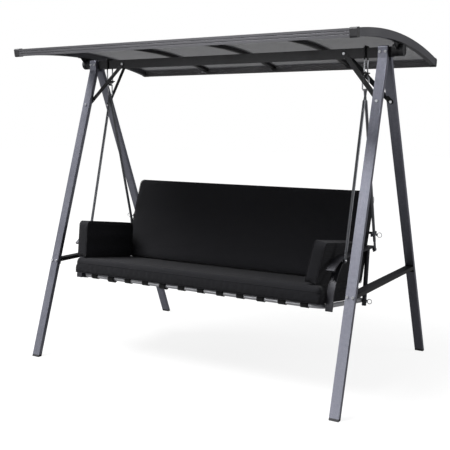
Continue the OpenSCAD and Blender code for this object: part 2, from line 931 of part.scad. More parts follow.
// Side outline of a layer of the roof, from `top` to `low` under its upper surface; `front` and
// `rear` are the angles that it sweeps ahead of and behind the highest line
module roof_layer(top, low, front, rear)
    translate([-roof_crown_y, roof_rise - roof_r])
        intersection() {
            difference() {
                circle(r = roof_r - top, $fn = 720);
                circle(r = roof_r - low, $fn = 720);
            }
            polygon([[0, 0], 1.1 * roof_r * [-tan(front), 1], 1.1 * roof_r * [tan(rear), 1]]);
        }

// Puts children on the roof's upper surface, at an angle behind its highest line
module on_roof(angle)
    translate([0, -roof_crown_y, roof_rise - roof_r])
        rotate([-angle, 0, 0])
            translate([0, 0, roof_r]) children();

module panel_groove()
    across(-roof_half + arch_w - groove - slack, roof_half - arch_w + groove + slack)
        roof_layer(panel_top - slack, panel_top + panel_t + slack,
            roof_front_sweep + groove_angle + 0.02, roof_rear_sweep + groove_angle + 0.02);

// Hollow extrusion with two flutes along its outer face, which is at y = 0
module fluted_rail() {
    half = roof_half - cap_len;
    difference() {
        translate([-half, 0, 0]) cube([2 * half, rail_d, roof_t]);
        translate([-half - 1, 4, 3]) cube([2 * half + 2, rail_d - 16, roof_t - 6]);
        for (z = [roof_t / 3, 2 * roof_t / 3])
            translate([0, -0.5, z])
                rod_x(-half - 1, half + 1, 2.5);
    }
}

module canopy_front_rail()
    color([0.42, 0.42, 0.45])
        from_beam() roof_space()
            difference() {
                on_roof(-roof_front_sweep)
                    translate([0, -rail_d, -roof_t]) fluted_rail();
                panel_groove();
            }

module canopy_rear_rail()
    color([0.12, 0.12, 0.13])
        from_beam() roof_space()
            difference() {
                on_roof(roof_rear_sweep)
                    translate([0, rail_d, -roof_t])
                        rotate([0, 0, 180]) fluted_rail();
                panel_groove();
            }

module canopy_arch(side)
    color([0.3, 0.3, 0.3])
        from_beam() roof_space() on_side(side)
            difference() {
                across(roof_half - arch_w, roof_half)
                    roof_layer(0, roof_t, roof_front_sweep - edge_gap, roof_rear_sweep - edge_gap);
                across(roof_half - arch_w + 11, roof_half - 3)
                    roof_layer(3, roof_t - 3, roof_front_sweep - 0.08, roof_rear_sweep - 0.08);
                panel_groove();
            }

module canopy_arch_left() canopy_arch(LEFT);
module canopy_arch_right() canopy_arch(RIGHT);

panel_pitch = (2 * roof_half - 2 * arch_w) / panel_count;

module canopy_ribs()
    color([0.14, 0.14, 0.15])
        from_beam() roof_space()
            for (i = [1 : panel_count - 1])
                translate([-roof_half + arch_w + i * panel_pitch, 0, 0])
                    difference() {
                        across(-rib_w / 2, rib_w / 2)
                            roof_layer(0, rib_t, roof_front_sweep - edge_gap, roof_rear_sweep - edge_gap);
                        for (side = [LEFT, RIGHT])
                            on_side(side)
                                across(rib_w / 2 - groove - slack, rib_w / 2 + 1)
                                    roof_layer(panel_top - slack, panel_top + panel_t + slack,
                                        roof_front_sweep + 1, roof_rear_sweep + 1);
                    }

// Translucent sheet, held in grooves on all four sides
module roof_panel(i) {
    x0 = -roof_half + arch_w + i * panel_pitch + (i == 0 ? -groove : rib_w / 2 - groove);
    x1 = -roof_half + arch_w + (i + 1) * panel_pitch
        + (i == panel_count - 1 ? groove : -rib_w / 2 + groove);
    color([0.6, 0.6, 0.62, 0.7])
        from_beam() roof_space()
            across(x0, x1)
                roof_layer(panel_top, panel_top + panel_t,
                    roof_front_sweep + groove_angle, roof_rear_sweep + groove_angle);
}

module roof_panel_1() roof_panel(0);
module roof_panel_2() roof_panel(1);
module roof_panel_3() roof_panel(2);
module roof_panel_4() roof_panel(3);

// Corner piece on one end of a rail, with rounded outer edges and a plug in the rail's hollow
module corner_cap() {
    tall = roof_t + 2 * cap_lip;
    across(roof_half - cap_len, roof_half)
        translate([-0.5, -cap_lip]) {
            translate([cap_round, 0]) square([rail_d + 0.5 - cap_round, tall]);
            translate([0, cap_round]) square([cap_round + 1, tall - 2 * cap_round]);
            for (z = [cap_round, tall - cap_round])
                translate([cap_round, z]) circle(r = cap_round);
        }
    translate([roof_half - cap_len - 14, 4 + slack, 3 + slack])
        cube([15, rail_d - 16 - 2 * slack, roof_t - 6 - 2 * slack]);
}

module rail_end_caps()
    color([0.2, 0.2, 0.21])
        from_beam() roof_space()
            difference() {
                each_side() {
                    on_roof(-roof_front_sweep)
                        translate([0, -rail_d, -roof_t]) corner_cap();
                    on_roof(roof_rear_sweep)
                        mirror([0, 1, 0])
                            translate([0, -rail_d, -roof_t]) corner_cap();
                }
                panel_groove();
            }

// Plate that hangs from the arch and clamps between hub and knob
module canopy_bracket(side) {
    pivot_angle = asin(roof_crown_y / roof_r);
    half_angle = 1.4;
    color([0.08, 0.08, 0.09])
        from_beam() roof_space() on_side(side)
            difference() {
                union() {
                    rod_x(bracket_x, bracket_x + bracket_t, hub_r - 1);
                    across(bracket_x, bracket_x + bracket_t)
                        intersection() {
                            difference() {
                                polygon([[-31, 0], [31, 0], [60, 20], [85, 45], [-85, 45], [-60, 20]]);
                                for (y = [-88, 88])
                                    translate([y, -2]) circle(r = 36);
                            }
                            translate([-roof_crown_y, roof_rise - roof_r])
                                circle(r = roof_r - roof_t - 2, $fn = 720);
                        }
                    across(roof_half - arch_w, roof_half - 4)
                        roof_layer(roof_t + 0.1, roof_t + 3.1,
                            half_angle - pivot_angle, half_angle + pivot_angle);
                }
                rod_x(bracket_x - 5, bracket_x + bracket_t + 5, stud_r + fine_gap);
            }
}

module canopy_bracket_left() canopy_bracket(LEFT);
module canopy_bracket_right() canopy_bracket(RIGHT);

// Round hand knob on the stud, with shallow grip hollows round its rim and a dished face
module tilt_knob(side)
    color([0.06, 0.06, 0.07])
        from_beam() on_side(side)
            translate([bracket_x + bracket_t + 0.6, 0, tilt_z])
                difference() {
                    union() {
                        rod_x(0, 5, hub_r - 4);
                        rod_x(5, knob_t, hub_r);
                    }
                    rod_x(-1, 17, stud_r + fine_gap);
                    rod_x(knob_t - 1.5, knob_t + 1, hub_r - 5);
                    for (a = [0 : 30 : 330])
                        rotate([a, 0, 0])
                            translate([0, hub_r + 2.6, 0])
                                rod_x(7, knob_t - 3, 4);
                }

module tilt_knob_left() tilt_knob(LEFT);
module tilt_knob_right() tilt_knob(RIGHT);

front_leg_left();
front_leg_right();
rear_leg_left();
rear_leg_right();
foot_caps();
side_brace_left();
side_brace_right();
top_beam();
beam_hubs();
diagonal_brace_front_left();
diagonal_brace_front_right();
diagonal_brace_rear_left();
diagonal_brace_rear_right();
leg_top_bolts();
diagonal_brace_bolts();
side_brace_bolts();
stirrups();
stirrup_tabs();
swing_links();
hanger_rod_front_left();
hanger_rod_front_right();
hanger_rod_rear_left();
hanger_rod_rear_right();
armrest_left();
armrest_right();
front_posts();
rear_struts();
armrest_bolts();
seat_front_rail();
seat_rear_rail();
seat_side_tube_left();
seat_side_tube_right();
seat_middle_bar();
seat_straps();
back_pivot_pins();
seat_cushion();
arm_pad_left();
arm_pad_right();
back_top_rail();
back_bottom_rail();
back_side_tube_left();
back_side_tube_right();
back_straps();
back_cushion();
lock_pin_left();
lock_pin_right();
tilt_knob_left();
tilt_knob_right();
canopy_front_rail();
canopy_rear_rail();
canopy_arch_left();
canopy_arch_right();
canopy_ribs();
roof_panel_1();
roof_panel_2();
roof_panel_3();
roof_panel_4();
rail_end_caps();
canopy_bracket_left();
canopy_bracket_right();
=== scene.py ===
"""Looks for the canopy swing bench: camera, light, materials, simulated cushions and webbing."""

import json
import math
import random
from functools import partial

import bpy
from mathutils import Matrix, Vector


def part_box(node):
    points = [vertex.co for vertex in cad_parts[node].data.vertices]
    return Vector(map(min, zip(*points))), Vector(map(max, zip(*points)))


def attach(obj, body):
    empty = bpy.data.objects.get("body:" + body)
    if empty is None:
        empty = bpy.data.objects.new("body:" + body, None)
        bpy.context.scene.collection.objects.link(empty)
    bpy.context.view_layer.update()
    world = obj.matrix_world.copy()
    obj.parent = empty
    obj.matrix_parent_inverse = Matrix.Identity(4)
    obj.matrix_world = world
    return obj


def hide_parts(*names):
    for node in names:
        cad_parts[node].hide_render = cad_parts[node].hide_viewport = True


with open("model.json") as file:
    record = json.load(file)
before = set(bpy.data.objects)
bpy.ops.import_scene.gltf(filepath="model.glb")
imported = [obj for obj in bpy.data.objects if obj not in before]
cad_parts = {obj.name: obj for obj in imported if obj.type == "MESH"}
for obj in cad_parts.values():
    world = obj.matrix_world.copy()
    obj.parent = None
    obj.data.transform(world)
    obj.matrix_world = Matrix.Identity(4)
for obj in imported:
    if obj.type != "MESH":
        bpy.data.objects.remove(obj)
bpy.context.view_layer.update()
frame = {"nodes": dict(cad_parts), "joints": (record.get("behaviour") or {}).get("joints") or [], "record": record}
NODES = frame["nodes"]
JOINT_PLACES = {j["name"]: j.get("pos_m") for j in frame["joints"]}
BEAM_Y = JOINT_PLACES["canopy tilt"][1]
BACK_PIVOT = Vector(JOINT_PLACES["back recline"])
SCENE = bpy.context.scene
RNG = random.Random(7)


# ---------------------------------------------------------------- camera and light

CAMERA_PLACE = Vector((2.2936, -3.8121 + BEAM_Y, 1.3797))
CAMERA_YAW = math.radians(31.006)
CAMERA_PITCH = math.radians(-7.457)
CAMERA_ROLL = math.radians(0.276)
CAMERA_LENS = 61.14
CAMERA_SENSOR = 36

ROOM_LIGHT = (0.93, 0.95, 1.0)
ROOM_STRENGTH = 0.10
WHITE = (1, 1, 1)

FLOOR_HALF = 30
FLOOR_Z = -0.001
FLOOR_GLOW_NEAR = 0.86
FLOOR_GLOW_FAR = 1.0
FLOOR_GLOW_UNSEEN = 0.05
FLOOR_FAR_SCALE = 0.2


def make_camera():
    """The camera of the photograph, which stands in front of the bench and to its right."""
    forward = Vector((
        -math.sin(CAMERA_YAW) * math.cos(CAMERA_PITCH),
        math.cos(CAMERA_YAW) * math.cos(CAMERA_PITCH),
        math.sin(CAMERA_PITCH),
    ))
    level = Vector((math.cos(CAMERA_YAW), math.sin(CAMERA_YAW), 0))
    above = level.cross(forward)
    right = math.cos(CAMERA_ROLL) * level + math.sin(CAMERA_ROLL) * above
    up = math.cos(CAMERA_ROLL) * above - math.sin(CAMERA_ROLL) * level
    data = bpy.data.cameras.new("camera")
    data.lens = CAMERA_LENS
    data.sensor_width = CAMERA_SENSOR
    camera = bpy.data.objects.new("camera", data)
    SCENE.collection.objects.link(camera)
    turn = Matrix((right, up, -forward)).transposed().to_4x4()
    camera.matrix_world = Matrix.Translation(CAMERA_PLACE) @ turn
    SCENE.camera = camera


def area_light(name, place, target, size, power):
    """A rectangular softbox at place that faces target."""
    data = bpy.data.lights.new(name, "AREA")
    data.shape = "RECTANGLE"
    data.size, data.size_y = size
    data.energy = power
    light = bpy.data.objects.new(name, data)
    SCENE.collection.objects.link(light)
    light.location = place
    light.rotation_euler = (Vector(target) - Vector(place)).to_track_quat("-Z", "Y").to_euler()


def background(tree, color, strength):
    """Shader output of an even background."""
    node = tree.nodes.new("ShaderNodeBackground")
    node.inputs["Color"].default_value = (*color, 1)
    node.inputs["Strength"].default_value = strength
    return node.outputs[0]


def make_light():
    """A large softbox high in front, weak ones at the side and front, and a dim room seen as white."""
    area_light("key light", (-2.6, -2.8, 6.85), (0, -0.4, 0.3), (5.5, 2.2), 1150)
    area_light("side light", (5.2, 1.6, 2.4), (0.8, 0, 1.5), (2.5, 2.5), 95)
    area_light("front fill", (-2.9, -6.5, 1.4), (0, 0, 0.4), (3.0, 1.2), 62)
    world = bpy.data.worlds.new("studio")
    SCENE.world = world
    world.use_nodes = True
    tree = world.node_tree
    tree.nodes.clear()
    output = tree.nodes.new("ShaderNodeOutputWorld")
    mix = tree.nodes.new("ShaderNodeMixShader")
    path = tree.nodes.new("ShaderNodeLightPath")
    tree.links.new(path.outputs["Is Camera Ray"], mix.inputs["Fac"])
    tree.links.new(background(tree, ROOM_LIGHT, ROOM_STRENGTH), mix.inputs[1])
    tree.links.new(background(tree, WHITE, 1.0), mix.inputs[2])
    tree.links.new(mix.outputs[0], output.inputs["Surface"])
    SCENE.view_settings.view_transform = "Standard"


def make_floor():
    """A white floor that takes a faint shadow and gives off enough light to meet the background."""
    corners = [(-1, -1), (1, -1), (1, 1), (-1, 1)]
    points = [(x * FLOOR_HALF, y * FLOOR_HALF, FLOOR_Z) for x, y in corners]
    mesh = bpy.data.meshes.new("floor")
    mesh.from_pydata(points, [], [(0, 1, 2, 3)])
    floor = bpy.data.objects.new("floor", mesh)
    SCENE.collection.objects.link(floor)
    material, bsdf = principled("pale floor", (0.12, 0.12, 0.12), roughness=0.9)
    nodes, links = material.node_tree.nodes, material.node_tree.links
    path = nodes.new("ShaderNodeLightPath")
    far = nodes.new("ShaderNodeVectorMath")
    far.operation = "LENGTH"
    links.new(coordinates(material, (FLOOR_FAR_SCALE,) * 3), far.inputs[0])
    glow = spread(material, far.outputs["Value"], FLOOR_GLOW_NEAR, FLOOR_GLOW_FAR)
    seen = math_of(material, "MULTIPLY", glow, path.outputs["Is Camera Ray"])
    bsdf.inputs["Emission Color"].default_value = (1, 1, 1, 1)
    strength = math_of(material, "MAXIMUM", seen, FLOOR_GLOW_UNSEEN)
    links.new(strength, bsdf.inputs["Emission Strength"])
    mesh.materials.append(material)


# ---------------------------------------------------------------- material building blocks

# Bands per metre that a wave texture draws at scale 1.
WAVE_BANDS = 3.183

# Surface curvature, as Pointiness gives it, where paint starts to be rubbed and where it is fully rubbed.
EDGE_START = 0.56
EDGE_FULL = 0.66


def principled(name, color, roughness=0.5, metallic=0.0):
    """A new material and its main shader."""
    material = bpy.data.materials.new(name)
    material.use_nodes = True
    bsdf = material.node_tree.nodes["Principled BSDF"]
    bsdf.inputs["Base Color"].default_value = (*color, 1)
    bsdf.inputs["Roughness"].default_value = roughness
    bsdf.inputs["Metallic"].default_value = metallic
    return material, bsdf


def coordinates(material, scale=(1, 1, 1), turn=(0, 0, 0)):
    """Object coordinates in metres, scaled and turned."""
    nodes, links = material.node_tree.nodes, material.node_tree.links
    source = nodes.new("ShaderNodeTexCoord")
    mapping = nodes.new("ShaderNodeMapping")
    mapping.inputs["Scale"].default_value = scale
    mapping.inputs["Rotation"].default_value = turn
    links.new(source.outputs["Object"], mapping.inputs["Vector"])
    return mapping.outputs["Vector"]


def noise_of(material, vector, scale, detail=3.0, roughness=0.5):
    """Noise from 0 to 1."""
    nodes, links = material.node_tree.nodes, material.node_tree.links
    texture = nodes.new("ShaderNodeTexNoise")
    texture.inputs["Scale"].default_value = scale
    texture.inputs["Detail"].default_value = detail
    texture.inputs["Roughness"].default_value = roughness
    links.new(vector, texture.inputs["Vector"])
    return texture.outputs["Fac"]


def ramp(material, value, low, high, at=(0.3, 0.7)):
    """Turns a 0..1 value into a colour between low and high."""
    nodes, links = material.node_tree.nodes, material.node_tree.links
    node = nodes.new("ShaderNodeValToRGB")
    node.color_ramp.elements[0].position = at[0]
    node.color_ramp.elements[0].color = (*low, 1)
    node.color_ramp.elements[1].position = at[1]
    node.color_ramp.elements[1].color = (*high, 1)
    links.new(value, node.inputs["Fac"])
    return node.outputs["Color"]


def spread(material, value, low, high):
    """Maps a 0..1 value to low..high."""
    nodes, links = material.node_tree.nodes, material.node_tree.links
    node = nodes.new("ShaderNodeMapRange")
    node.inputs["To Min"].default_value = low
    node.inputs["To Max"].default_value = high
    links.new(value, node.inputs["Value"])
    return node.outputs["Result"]


def math_of(material, operation, a, b):
    """Result of a math node on two sockets or numbers."""
    nodes, links = material.node_tree.nodes, material.node_tree.links
    node = nodes.new("ShaderNodeMath")
    node.operation = operation
    for socket, value in zip(node.inputs, (a, b)):
        if isinstance(value, (int, float)):
            socket.default_value = value
        else:
            links.new(value, socket)
    return node.outputs[0]


def scaled(color, factor, plus=0.0):
    """A colour made lighter or darker."""
    return tuple(c * factor + plus for c in color)


def mix_colors(material, factor, a, b):
    """Colour a where factor is 0 and colour b where it is 1."""
    nodes, links = material.node_tree.nodes, material.node_tree.links
    node = nodes.new("ShaderNodeMix")
    node.data_type = "RGBA"
    links.new(factor, node.inputs["Factor"])
    for socket, value in ((node.inputs["A"], a), (node.inputs["B"], b)):
        socket = [s for s in node.inputs if s.name == socket.name and s.type == "RGBA"][0]
        if isinstance(value, tuple):
            socket.default_value = (*value, 1)
        else:
            links.new(value, socket)
    return [s for s in node.outputs if s.type == "RGBA"][0]


def bump(material, bsdf, height, distance, strength=1.0, before=None):
    """Bumps of the given height in metres, added to an earlier bump if there is one."""
    nodes, links = material.node_tree.nodes, material.node_tree.links
    node = nodes.new("ShaderNodeBump")
    node.inputs["Distance"].default_value = distance
    node.inputs["Strength"].default_value = strength
    links.new(height, node.inputs["Height"])
    if before is not None:
        links.new(before, node.inputs["Normal"])
    links.new(node.outputs["Normal"], bsdf.inputs["Normal"])
    return node.outputs["Normal"]


def worn_edges(material, amount=0.35):
    """1 on convex edges, broken up by noise, and 0 elsewhere."""
    nodes, links = material.node_tree.nodes, material.node_tree.links
    geometry = nodes.new("ShaderNodeNewGeometry")
    edge = nodes.new("ShaderNodeMapRange")
    edge.inputs["From Min"].default_value = EDGE_START
    edge.inputs["From Max"].default_value = EDGE_FULL
    links.new(geometry.outputs["Pointiness"], edge.inputs["Value"])
    patches = spread(material, noise_of(material, coordinates(material), 60, 4), -0.6, 1.2)
    worn = math_of(material, "MULTIPLY", edge.outputs["Result"], patches)
    worn = math_of(material, "MAXIMUM", worn, 0.0)
    return math_of(material, "MULTIPLY", worn, amount)


# ---------------------------------------------------------------- materials

PAINT_DUST = (0.32, 0.31, 0.30)
ROOF_DUST = (0.36, 0.35, 0.33)
ZINC_METALLIC = 0.7
SLEEVE_BLACK = (0.012, 0.012, 0.013)
SLEEVE_BELOW_BEAM = 0.01
RUBBED_PLASTIC = (0.2, 0.2, 0.21)
THREAD_PITCH = 0.0016
FLUTE_PITCH = 0.010


def powder_coat(name, color, roughness=0.42, metallic=0.55, fleck=0.25, dust=0.06):
    """Satin metallic powder coat with fine orange peel, flecks, faint dust and rubbed edges."""
    material, bsdf = principled(name, color, roughness, metallic)
    links = material.node_tree.links
    bsdf.inputs["Coat Weight"].default_value = 0.15
    bsdf.inputs["Coat Roughness"].default_value = 0.25
    place = coordinates(material)
    flecks = noise_of(material, place, 900, 1)
    cloud = noise_of(material, place, 5, 4)
    darker = scaled(color, 1 - fleck)
    lighter = scaled(color, 1 + fleck)
    base = ramp(material, flecks, darker, lighter, (0.35, 0.65))
    dusty = mix_colors(material, spread(material, cloud, 0.0, dust), base, PAINT_DUST)
    rubbed = tuple(min(c, 1) for c in scaled(color, 2.2, 0.03))
    edge = mix_colors(material, worn_edges(material), dusty, rubbed)
    links.new(edge, bsdf.inputs["Base Color"])
    links.new(spread(material, cloud, roughness - 0.06, roughness + 0.08), bsdf.inputs["Roughness"])
    peel = noise_of(material, place, 380, 2)
    bump(material, bsdf, peel, 0.00012, 0.6)
    return material


def zinc_plate(name, color=(0.72, 0.73, 0.76)):
    """Plated steel: cloudy spangle and fine drawn lines."""
    material, bsdf = principled(name, color, 0.32, ZINC_METALLIC)
    links = material.node_tree.links
    place = coordinates(material)
    cloud = noise_of(material, place, 45, 4)
    lines = noise_of(material, coordinates(material, (40, 600, 600)), 3, 2)
    base = ramp(material, cloud, scaled(color, 0.62), color, (0.3, 0.62))
    links.new(base, bsdf.inputs["Base Color"])
    links.new(spread(material, cloud, 0.24, 0.46), bsdf.inputs["Roughness"])
    bump(material, bsdf, lines, 0.00008, 0.5)
    return material


def sleeved_wire(name, sleeve_low):
    """Zinc plated wire in a black plastic sleeve above the height sleeve_low."""
    material = zinc_plate(name)
    nodes, links = material.node_tree.nodes, material.node_tree.links
    bsdf = nodes["Principled BSDF"]
    zinc = bsdf.inputs["Base Color"].links[0].from_socket
    parts = nodes.new("ShaderNodeSeparateXYZ")
    links.new(coordinates(material), parts.inputs["Vector"])
    in_sleeve = math_of(material, "GREATER_THAN", parts.outputs["Z"], sleeve_low)
    links.new(mix_colors(material, in_sleeve, zinc, SLEEVE_BLACK), bsdf.inputs["Base Color"])
    links.new(spread(material, in_sleeve, ZINC_METALLIC, 0.0), bsdf.inputs["Metallic"])
    return material


def moulded_plastic(name, color, roughness=0.5):
    """Textured moulding with a spark-eroded grain and rubbed high spots."""
    material, bsdf = principled(name, color, roughness)
    links = material.node_tree.links
    place = coordinates(material)
    grain = noise_of(material, place, 1100, 3)
    cloud = noise_of(material, place, 18, 3)
    base = ramp(material, cloud, color, scaled(color, 1.6, 0.01), (0.35, 0.75))
    edge = mix_colors(material, worn_edges(material, 0.3), base, RUBBED_PLASTIC)
    links.new(edge, bsdf.inputs["Base Color"])
    links.new(spread(material, grain, roughness - 0.08, roughness + 0.1), bsdf.inputs["Roughness"])
    bump(material, bsdf, grain, 0.00015, 0.7)
    return material


def extrusion(name, color, roughness=0.4):
    """Coated aluminium extrusion: draw lines along x, a little dust."""
    material, bsdf = principled(name, color, roughness, 0.6)
    links = material.node_tree.links
    place = coordinates(material)
    draw = noise_of(material, coordinates(material, (3, 700, 700)), 2, 3)
    cloud = noise_of(material, place, 4, 4)
    base = ramp(material, draw, scaled(color, 0.86), color, (0.35, 0.6))
    dusty = mix_colors(material, spread(material, cloud, 0.0, 0.15), base, ROOF_DUST)
    links.new(dusty, bsdf.inputs["Base Color"])
    links.new(spread(material, cloud, roughness - 0.05, roughness + 0.1), bsdf.inputs["Roughness"])
    bump(material, bsdf, draw, 0.00008, 0.6)
    return material


def thread_wave(material, direction, pitch, turn=(0, 0, 0)):
    """Slightly uneven waves from 0 to 1 along an axis, one in every pitch metres."""
    nodes, links = material.node_tree.nodes, material.node_tree.links
    wave = nodes.new("ShaderNodeTexWave")
    wave.bands_direction = direction
    wave.inputs["Scale"].default_value = 1 / pitch / WAVE_BANDS
    wave.inputs["Distortion"].default_value = 0.6
    wave.inputs["Detail"].default_value = 1.0
    links.new(coordinates(material, turn=turn), wave.inputs["Vector"])
    return wave.outputs["Fac"]


def woven_cloth(name, color):
    """Plain-weave polyester: warp and weft threads, slubs, soft creases, sheen and lint."""
    material, bsdf = principled(name, color, 0.82)
    links = material.node_tree.links
    bsdf.inputs["Sheen Weight"].default_value = 0.08
    bsdf.inputs["Sheen Roughness"].default_value = 0.45
    bsdf.inputs["Specular IOR Level"].default_value = 0.22
    warp = thread_wave(material, "X", THREAD_PITCH)
    weft_up = thread_wave(material, "Z", THREAD_PITCH)
    weft_back = thread_wave(material, "Y", THREAD_PITCH)
    front_face = math_of(material, "MULTIPLY", warp, weft_up)
    top_face = math_of(material, "MULTIPLY", warp, weft_back)
    threads = math_of(material, "MAXIMUM", front_face, top_face)
    place = coordinates(material)
    slubs = noise_of(material, coordinates(material, (1, 6, 6)), 120, 2)
    cloud = noise_of(material, place, 9, 5, 0.6)
    weave = ramp(material, threads, scaled(color, 0.55), scaled(color, 1.35), (0.1, 0.8))
    faded = mix_colors(material, spread(material, cloud, 0.0, 0.5), weave, scaled(color, 1.7, 0.004))
    lint = ramp(material, slubs, (0, 0, 0), (1, 1, 1), (0.62, 0.8))
    linted = mix_colors(material, spread(material, lint, 0.0, 0.25), faded, scaled(color, 3))
    links.new(linted, bsdf.inputs["Base Color"])
    links.new(spread(material, cloud, 0.74, 0.92), bsdf.inputs["Roughness"])
    creases = noise_of(material, coordinates(material, (1, 1.8, 1.8)), 14, 4, 0.55)
    first = bump(material, bsdf, creases, 0.004, 0.5)
    bump(material, bsdf, threads, 0.0005, 0.7, first)
    return material


def webbing(name, color):
    """Flat woven tape: a fine grid of ribs crossed by cords, with faded patches."""
    material, bsdf = principled(name, color, 0.7)
    links = material.node_tree.links
    bsdf.inputs["Sheen Weight"].default_value = 0.2
    ribs = thread_wave(material, "Y", 0.0022)
    cords = thread_wave(material, "X", 0.0030)
    weave = math_of(material, "MULTIPLY", ribs, cords)
    cloud = noise_of(material, coordinates(material), 14, 3)
    base = ramp(material, weave, scaled(color, 0.5), scaled(color, 1.5), (0.1, 0.8))
    faded = mix_colors(material, spread(material, cloud, 0.0, 0.4), base, scaled(color, 2, 0.006))
    links.new(faded, bsdf.inputs["Base Color"])
    links.new(spread(material, cloud, 0.6, 0.8), bsdf.inputs["Roughness"])
    bump(material, bsdf, weave, 0.0006, 0.8)
    return material


def roof_sheet(name, color, alpha):
    """Tinted translucent sheet with fine lengthwise flutes and a film of dust."""
    material, bsdf = principled(name, color, 0.35)
    links = material.node_tree.links
    bsdf.inputs["Alpha"].default_value = alpha
    bsdf.inputs["Transmission Weight"].default_value = 0.25
    bsdf.inputs["IOR"].default_value = 1.3
    place = coordinates(material)
    cloud = noise_of(material, place, 6, 5, 0.6)
    flutes = thread_wave(material, "X", FLUTE_PITCH)
    base = ramp(material, flutes, scaled(color, 0.88), color, (0.1, 0.9))
    dusty = mix_colors(material, spread(material, cloud, 0.0, 0.35), base, scaled(color, 1.25))
    links.new(dusty, bsdf.inputs["Base Color"])
    links.new(spread(material, cloud, 0.28, 0.5), bsdf.inputs["Roughness"])
    bump(material, bsdf, flutes, 0.0002, 0.35)
    return material


def make_materials():
    """One material per slot of the record."""
    sleeve_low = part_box("top_beam")[0].z - SLEEVE_BELOW_BEAM
    return {
        "leg paint": powder_coat("leg paint", (0.25, 0.255, 0.305), 0.40, 0.85),
        "foot plastic": moulded_plastic("foot plastic", (0.02, 0.02, 0.022)),
        "dark paint": powder_coat("dark paint", (0.009, 0.009, 0.011), 0.5, 0.2, dust=0.015),
        "zinc steel": zinc_plate("zinc steel"),
        "sleeved wire": sleeved_wire("sleeved wire", sleeve_low),
        "rod paint": powder_coat("rod paint", (0.16, 0.165, 0.18), 0.36, 0.7),
        "armrest paint": powder_coat("armrest paint", (0.035, 0.035, 0.042), 0.42, 0.5, dust=0.03),
        "seat tube paint": powder_coat("seat tube paint", (0.60, 0.60, 0.63), 0.34, 0.5, 0.12),
        "back tube paint": powder_coat("back tube paint", (0.05, 0.05, 0.06), 0.42, 0.5, dust=0.03),
        "webbing": webbing("webbing", (0.008, 0.008, 0.009)),
        "cushion cloth": woven_cloth("cushion cloth", (0.0052, 0.0052, 0.0072)),
        "knob plastic": moulded_plastic("knob plastic", (0.012, 0.012, 0.014), 0.42),
        "corner plastic": moulded_plastic("corner plastic", (0.02, 0.02, 0.023), 0.5),
        "roof aluminium": extrusion("roof aluminium", (0.13, 0.13, 0.145)),
        "roof dark aluminium": extrusion("roof dark aluminium", (0.02, 0.02, 0.024)),
        "roof sheet": roof_sheet("roof sheet", (0.32, 0.32, 0.34), 0.72),
    }


FLUTED = ("canopy_front_rail", "canopy_rear_rail", "canopy_arch_left", "canopy_arch_right")
SOFT_SLOTS = ("cushion cloth", "webbing")
LEG_EDGE_R = 0.0028
EDGE_R = 0.001


def dress_frame(materials):
    """Gives every CAD node its material, and small rounded edges where it has no fine flutes."""
    slots = {s["node"]: s["material_slot"] for s in frame["record"]["subparts"]}
    for node, obj in NODES.items():
        obj.data.materials.clear()
        obj.data.materials.append(materials[slots[node]])
        if slots[node] in SOFT_SLOTS or node in FLUTED:
            continue
        bevel = obj.modifiers.new("soft edges", "BEVEL")
        bevel.width = LEG_EDGE_R if slots[node] == "leg paint" and "leg" in node else EDGE_R
        bevel.segments = 3
        bevel.limit_method = "ANGLE"
        bevel.angle_limit = math.radians(40)


# ---------------------------------------------------------------- webbing straps

SEAT_TILT = math.radians(7.5)
BACK_LEAN = math.radians(20)
SEAT_TUBE_R = 0.0125
BACK_TUBE_R = 0.011
STRAP_W = 0.044
STRAP_T = 0.002
STRAP_PITCH = 0.125
STRAP_GAP = 0.0003
STRAP_TAIL = 0.055
STRAP_STEPS = 14
STRAP_CROWN = 0.0004
STRAP_SKEW = 0.004
SEAT_STRAPS = 12
SEAT_RUN = 0.585
BACK_STRAPS = 10
BACK_RUN = 0.465
BACK_SLACK = 0.003

# Where the bottom rail of the back lies in the back's frame.
BACK_LOW_RAIL = (0, -0.024, 0.110)

# Seat straps that hang looser than the others, counted from the left end.
LOOSE_STRAPS = {1: 0.009, 4: 0.008}


def turn_x(angle):
    """A turn about the x axis."""
    return Matrix.Rotation(angle, 4, "X")


def seat_space():
    """Frame of the seat: its origin is the middle of the front rail and z stands square to the seat."""
    low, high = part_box("seat_front_rail")
    middle = Vector((0, low.y + SEAT_TUBE_R, high.z - SEAT_TUBE_R))
    return Matrix.Translation(middle) @ turn_x(-SEAT_TILT)


def back_space():
    """Frame of the back: its origin is the hinge and z runs up along the side tubes."""
    middle = Vector((0, BACK_PIVOT.y, BACK_PIVOT.z))
    return Matrix.Translation(middle) @ turn_x(-BACK_LEAN)


def local_box(node, space):
    """Lowest and highest corner of a CAD node, measured in a tilted frame."""
    inverse = space.inverted()
    points = [inverse @ v.co for v in NODES[node].data.vertices]
    low = Vector([min(p[a] for p in points) for a in range(3)])
    high = Vector([max(p[a] for p in points) for a in range(3)])
    return low, high


def strap_line(run, tube_r, slack, sag):
    """Middle line of a strap, as (along, up): sewn end, loop, top run, loop, sewn end."""
    wrap = tube_r + STRAP_GAP + STRAP_T / 2
    start = [
        (STRAP_TAIL, wrap - 1.2 * STRAP_T),
        (STRAP_TAIL * 0.75, wrap - 1.6 * STRAP_T),
        (STRAP_TAIL * 0.5, -0.1 * wrap),
    ]
    loop = []
    for degrees in range(-40, -271, -15):
        angle = math.radians(degrees)
        radius = wrap + slack * (0.5 - 0.5 * math.sin(angle))
        loop.append((radius * math.cos(angle), radius * math.sin(angle)))
    front = start + loop
    middle = []
    for i in range(1, STRAP_STEPS):
        share = i / STRAP_STEPS
        middle.append((run * share, wrap - sag * math.sin(math.pi * share)))
    rear = [(run - along, up) for along, up in reversed(front)]
    return front + middle + rear


